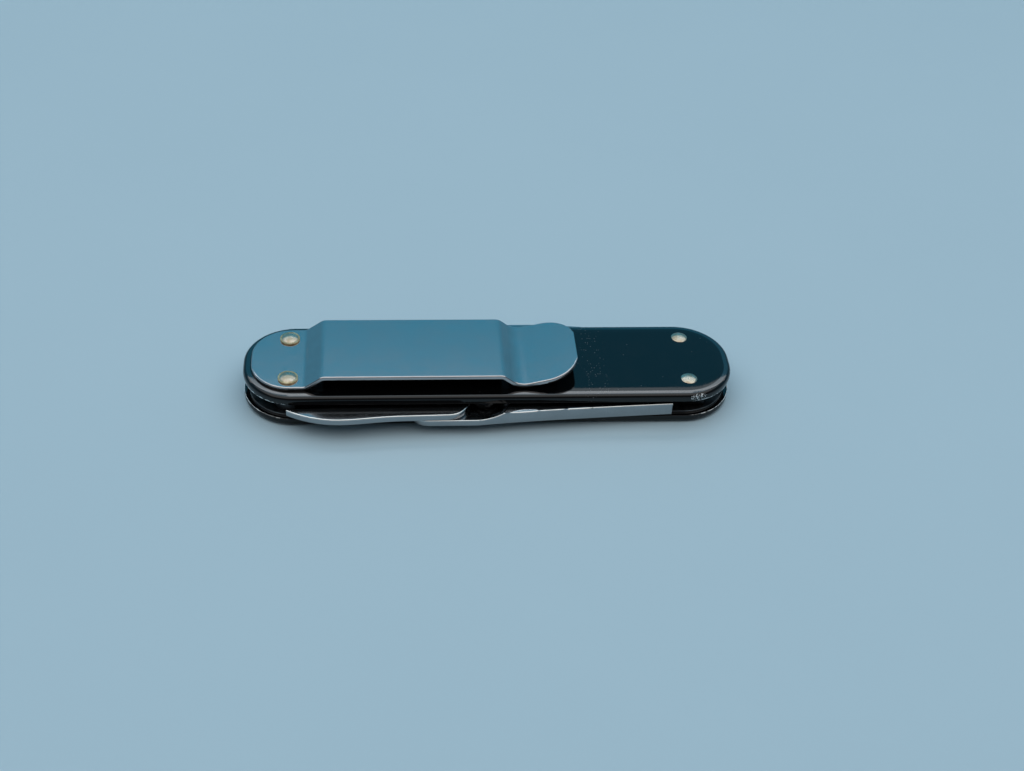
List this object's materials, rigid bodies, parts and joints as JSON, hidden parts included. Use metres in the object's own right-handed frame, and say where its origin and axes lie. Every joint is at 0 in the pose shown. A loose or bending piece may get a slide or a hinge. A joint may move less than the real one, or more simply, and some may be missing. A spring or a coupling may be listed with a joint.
{
  "type": "pocket knife with money clip",
  "caption": "Slim pocket knife with black rounded scales, a riveted sprung money clip, folding scissors on one side and a pen blade with a nail file on the other.",
  "frame": {"origin": "centre of the back scale's flat outer face", "axes": "+X along the handle towards the scissors' pivot, -Y to the scissors' side, +Z out of the front scale towards the clip"},
  "size_m": [0.074, 0.0228, 0.0083],
  "materials": {
    "black_scale": "black gloss coating, worn to bare metal along the edges",
    "liner_steel": "rolled sheet",
    "clip_steel": "fine satin, bright cut edge",
    "collar_brass": "polished",
    "rivet_metal": "domed, tumbled nickel silver",
    "spring_steel": "hardened and ground",
    "tool_steel": "polished stainless steel",
    "file_steel": "cross-cut file faces"
  },
  "bodies": {
    "handle": {"front_scale": "black_scale", "back_scale": "black_scale", "front_liner": "liner_steel", "back_liner": "liner_steel", "money_clip": "clip_steel", "clip_rivet_collar": "collar_brass", "tool_rivet_collar": "collar_brass", "scissors_pivot_rivet": "rivet_metal", "blade_spring_rivet": "rivet_metal", "clip_rivet": "rivet_metal", "tool_pivot_rivet": "rivet_metal", "scissors_backspring": "spring_steel", "blade_backspring": "spring_steel"},
    "scissors": {"scissors_upper_blade": "tool_steel", "scissors_joint_rivet": "rivet_metal", "scissors_leaf_spring": "spring_steel"},
    "scissors_lever": {"scissors_lever_blade": "tool_steel"},
    "blade": {"pen_blade": "tool_steel"},
    "file": {"nail_file": "file_steel"}
  },
  "joints": [
    {"name": "scissors_fold", "type": "hinge", "parent": "handle", "child": "scissors", "pos_m": [0.03, -0.0048, 0.00275], "axis": [0, 0, 1], "range_deg": [0, 180]},
    {"name": "scissors_squeeze", "type": "hinge", "parent": "scissors", "child": "scissors_lever", "pos_m": [-0.001, -0.00585, 0.00275], "axis": [0, 0, -1], "range_deg": [0, 12]},
    {"name": "blade_fold", "type": "hinge", "parent": "handle", "child": "blade", "pos_m": [-0.03015, 0.00465, 0.00275], "axis": [0, 0, 1], "range_deg": [0, 180]},
    {"name": "file_fold", "type": "hinge", "parent": "handle", "child": "file", "pos_m": [-0.03015, 0.00465, 0.00275], "axis": [0, 0, 1], "range_deg": [0, 180]}
  ]
}
